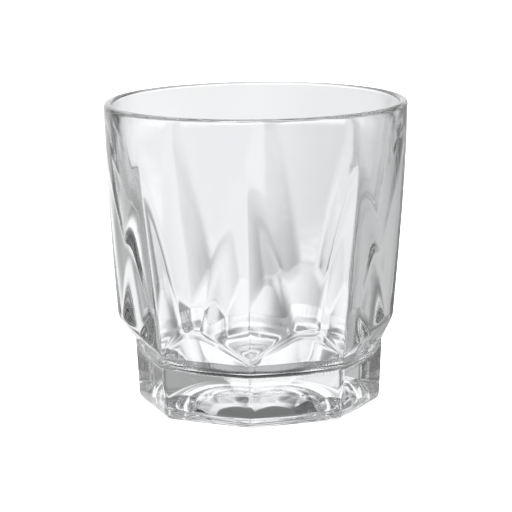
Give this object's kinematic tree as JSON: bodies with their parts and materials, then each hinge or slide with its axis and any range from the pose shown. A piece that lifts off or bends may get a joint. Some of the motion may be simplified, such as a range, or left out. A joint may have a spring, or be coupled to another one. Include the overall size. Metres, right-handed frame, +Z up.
{
  "type": "double old fashioned glass",
  "caption": "Clear pressed-glass double old fashioned tumbler with V-cut leaf flutes, a sloping shoulder and an octagonal foot with a domed hollow, for short drinks over ice.",
  "frame": {"origin": "centre of the standing plane, under the foot", "axes": "+Z up along the glass's axis, towards the rim; flutes and foot corners lie on the X and Y axes and half way between them"},
  "size_m": [0.0958, 0.0958, 0.0975],
  "materials": {
    "glass": "clear colourless pressed soda-lime glass, fire-polished"
  },
  "bodies": {
    "root": {"foot": "glass", "shoulder": "glass", "bowl": "glass", "rim": "glass"}
  },
  "joints": []
}
